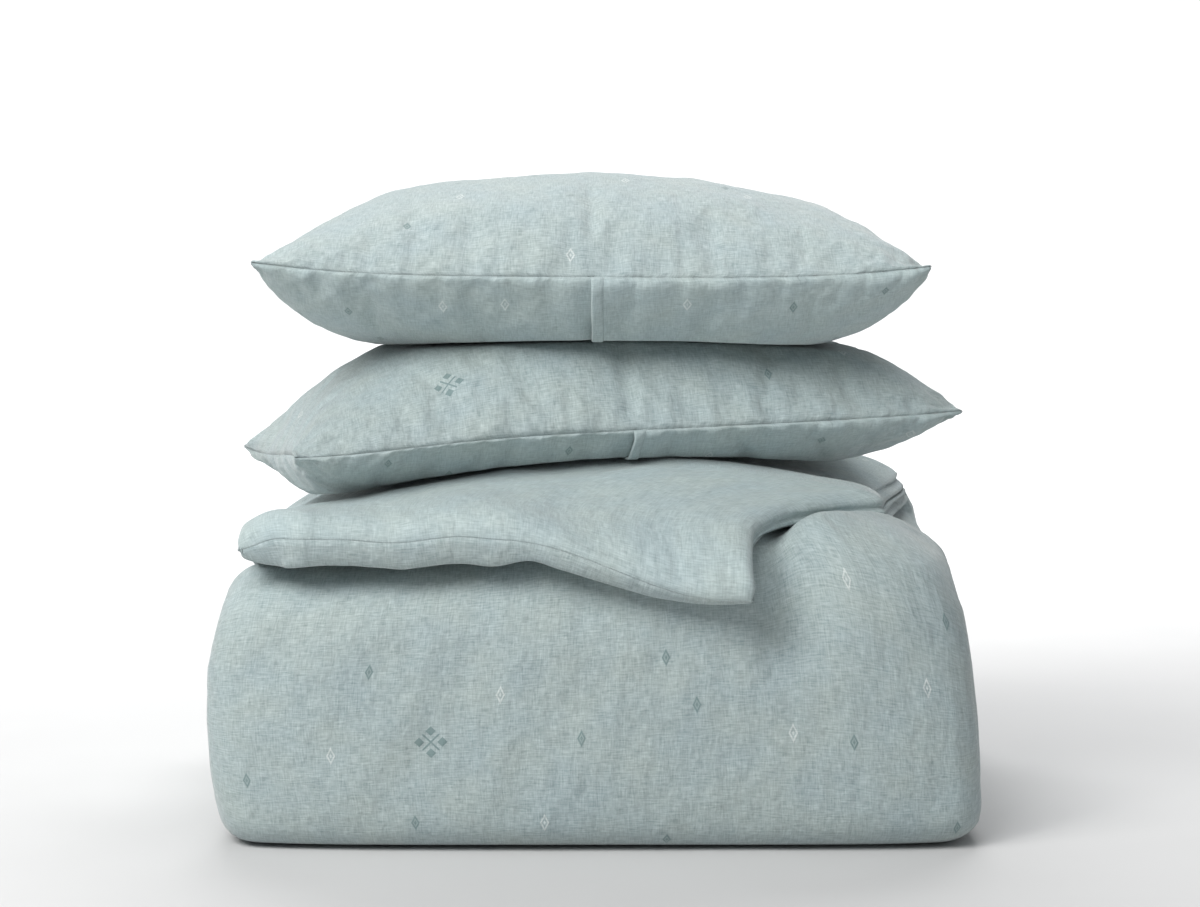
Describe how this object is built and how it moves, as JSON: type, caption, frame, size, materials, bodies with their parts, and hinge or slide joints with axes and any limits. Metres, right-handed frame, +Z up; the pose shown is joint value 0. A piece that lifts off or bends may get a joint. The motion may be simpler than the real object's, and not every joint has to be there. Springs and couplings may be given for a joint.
{
  "type": "folded duvet with two pillows",
  "caption": "Folded duvet in a linen cover, its free end turned forward on top, with matching sham-covered pillows stacked on it.",
  "frame": {"origin": "middle of the base of the folded stack, on the surface it rests on", "axes": "+Z up; -Y is the front, where the large fold and the hanging free end are; +X to the viewer's right"},
  "size_m": [0.7338, 0.591, 0.6133],
  "materials": {
    "linen_face": "slubby linen weave, washed, pale blue-green-grey with small woven motifs",
    "linen_reverse": "slubby linen weave, washed, pale blue-green-grey",
    "insert_cloth": "close white cotton ticking",
    "button_shell": "satin shell button"
  },
  "bodies": {
    "folded_duvet": {"cover_face_panel": "linen_face", "cover_reverse_panel": "linen_reverse", "duvet_insert": "insert_cloth", "closure_button_1": "button_shell", "closure_button_2": "button_shell", "closure_button_3": "button_shell", "closure_button_4": "button_shell", "closure_button_5": "button_shell", "closure_button_6": "button_shell", "closure_button_7": "button_shell", "corner_tie_left": "insert_cloth", "corner_tie_right": "insert_cloth"},
    "free_end": {"free_end_upper_panel": "linen_reverse", "free_end_lower_panel": "linen_face", "free_end_insert": "insert_cloth"},
    "lower_pillow": {"lower_pillow_sham_front": "linen_face", "lower_pillow_sham_back_over": "linen_reverse", "lower_pillow_sham_back_under": "linen_reverse", "lower_pillow_insert": "insert_cloth"},
    "upper_pillow": {"upper_pillow_sham_front": "linen_face", "upper_pillow_sham_back_over": "linen_reverse", "upper_pillow_sham_back_under": "linen_reverse", "upper_pillow_insert": "insert_cloth"}
  },
  "joints": [
    {"name": "free_end_lift", "type": "hinge", "parent": "folded_duvet", "child": "free_end", "pos_m": [-0.086, -0.2, 0.30211], "axis": [-0.9963, 0, -0.0863], "range_deg": [0, 45]},
    {"name": "lower_pillow_lift", "type": "slide", "parent": "folded_duvet", "child": "lower_pillow", "axis": [0, 0, 1], "range_m": [0, 0.3]},
    {"name": "upper_pillow_lift", "type": "slide", "parent": "lower_pillow", "child": "upper_pillow", "axis": [0, 0, 1], "range_m": [0, 0.3]}
  ]
}
